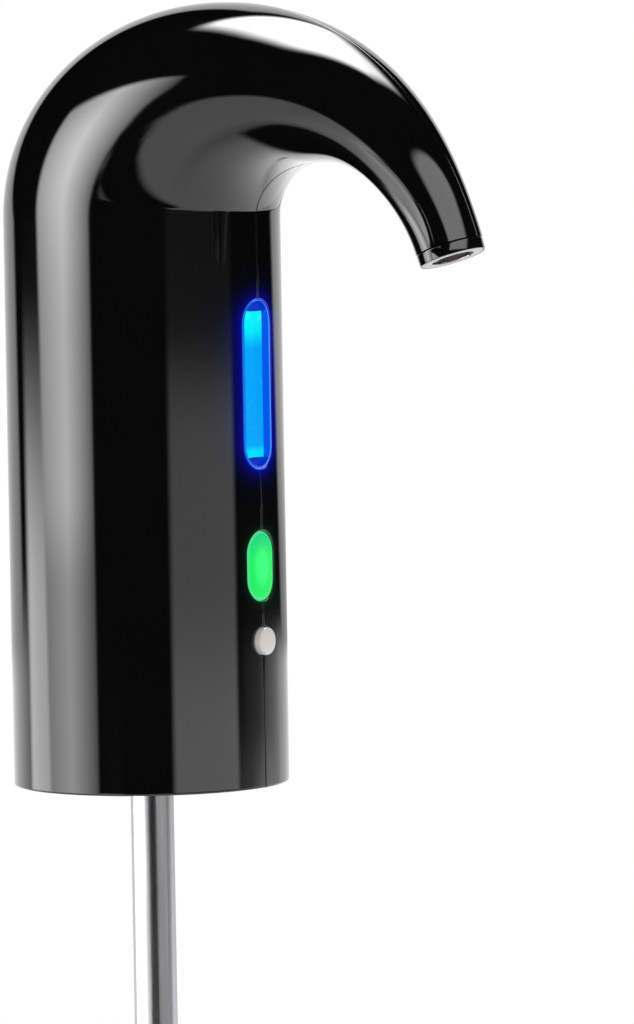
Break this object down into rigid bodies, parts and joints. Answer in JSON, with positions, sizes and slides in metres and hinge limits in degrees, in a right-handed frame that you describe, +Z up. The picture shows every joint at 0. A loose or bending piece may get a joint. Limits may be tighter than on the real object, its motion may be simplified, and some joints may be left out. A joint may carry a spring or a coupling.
{
  "type": "electric wine aerator",
  "caption": "Glossy black column with a gooseneck spout, lit aeration window, push buttons, soft neck plug and telescopic intake tube; an air pump drives wine up, aerates and pours it.",
  "frame": {"origin": "on the column's axis, in the plane of its bottom rim, inside the neck plug's straight wall", "axes": "+Z up along the column, +X towards the spout, +Y to the right half shell"},
  "size_m": [0.1241, 0.064, 0.2701],
  "materials": {
    "shell_black": "piano black, high gloss",
    "base_black": "fine moulded texture",
    "screw_steel": "zinc-plated steel",
    "chassis_plastic": "natural moulded plastic",
    "ring_bright": "bright plated ring",
    "lens_clear": "clear blue-tinted acrylic",
    "chamber_blue": "clear acrylic lit blue from behind",
    "fitting_white": "natural food-safe plastic",
    "button_green": "translucent green, lit from behind",
    "button_silver": "satin silver",
    "switch_black": "moulded",
    "board_green": "solder mask over glass fibre",
    "lamp_blue": "clear lamp body",
    "lamp_green": "clear lamp body",
    "socket_metal": "nickel-plated stamping",
    "cell_wrap": "shrink-wrapped metal can",
    "motor_can": "plated can",
    "rubber_black": "soft moulded rubber",
    "pump_plastic": "moulded",
    "plug_rubber": "food-safe silicone",
    "hose_silicone": "clear silicone hose",
    "tube_steel": "drawn stainless steel",
    "bush_nylon": "nylon"
  },
  "bodies": {
    "housing": {"left_shell": "shell_black", "right_shell": "shell_black", "base_cover": "base_black", "base_screws": "screw_steel", "chassis": "chassis_plastic", "chassis_screws": "screw_steel", "spout_tip": "shell_black", "spout_ring": "ring_bright", "window_lens": "lens_clear", "aeration_chamber": "chamber_blue", "chamber_inlet": "fitting_white", "chamber_outlet": "fitting_white", "pour_switch": "switch_black", "power_switch": "switch_black", "main_board": "board_green", "board_screws": "screw_steel", "led_board": "board_green", "blue_leds": "lamp_blue", "green_leds": "lamp_green", "charge_board": "board_green", "charge_socket": "socket_metal", "battery": "cell_wrap", "pump_motor": "motor_can", "motor_sleeve": "rubber_black", "pump_frame": "pump_plastic", "pump_rocker": "pump_plastic", "pump_diaphragm": "rubber_black", "pump_head": "pump_plastic", "manifold": "fitting_white", "neck_plug": "plug_rubber", "riser_hose": "hose_silicone", "outlet_hose": "hose_silicone", "air_hose_upper": "hose_silicone", "check_valve": "fitting_white", "air_hose_lower": "hose_silicone", "tube_upper": "tube_steel"},
    "pour_key": {"pour_button": "button_green", "pour_plunger": "switch_black"},
    "power_key": {"power_button": "button_silver", "power_plunger": "switch_black"},
    "middle_stage": {"tube_middle": "tube_steel", "middle_bush": "bush_nylon"},
    "lower_stage": {"tube_lower": "tube_steel", "lower_bush": "bush_nylon", "intake_foot": "base_black"},
    "crank": {"pump_crank": "motor_can"}
  },
  "joints": [
    {"name": "pour_press", "type": "slide", "parent": "housing", "child": "pour_key", "axis": [-1, 0, 0], "range_m": [0, 0.001], "stiffness_N_per_m": 1500},
    {"name": "power_press", "type": "slide", "parent": "housing", "child": "power_key", "axis": [-1, 0, 0], "range_m": [0, 0.0008], "stiffness_N_per_m": 1500},
    {"name": "middle_slide", "type": "slide", "parent": "housing", "child": "middle_stage", "axis": [0, 0, -1], "range_m": [0, 0.085]},
    {"name": "lower_slide", "type": "slide", "parent": "middle_stage", "child": "lower_stage", "axis": [0, 0, -1], "range_m": [0, 0.085]},
    {"name": "crank_spin", "type": "hinge", "parent": "housing", "child": "crank", "pos_m": [-0.00941, 0.01343, 0.0705], "axis": [0, 0, 1], "continuous": true}
  ]
}
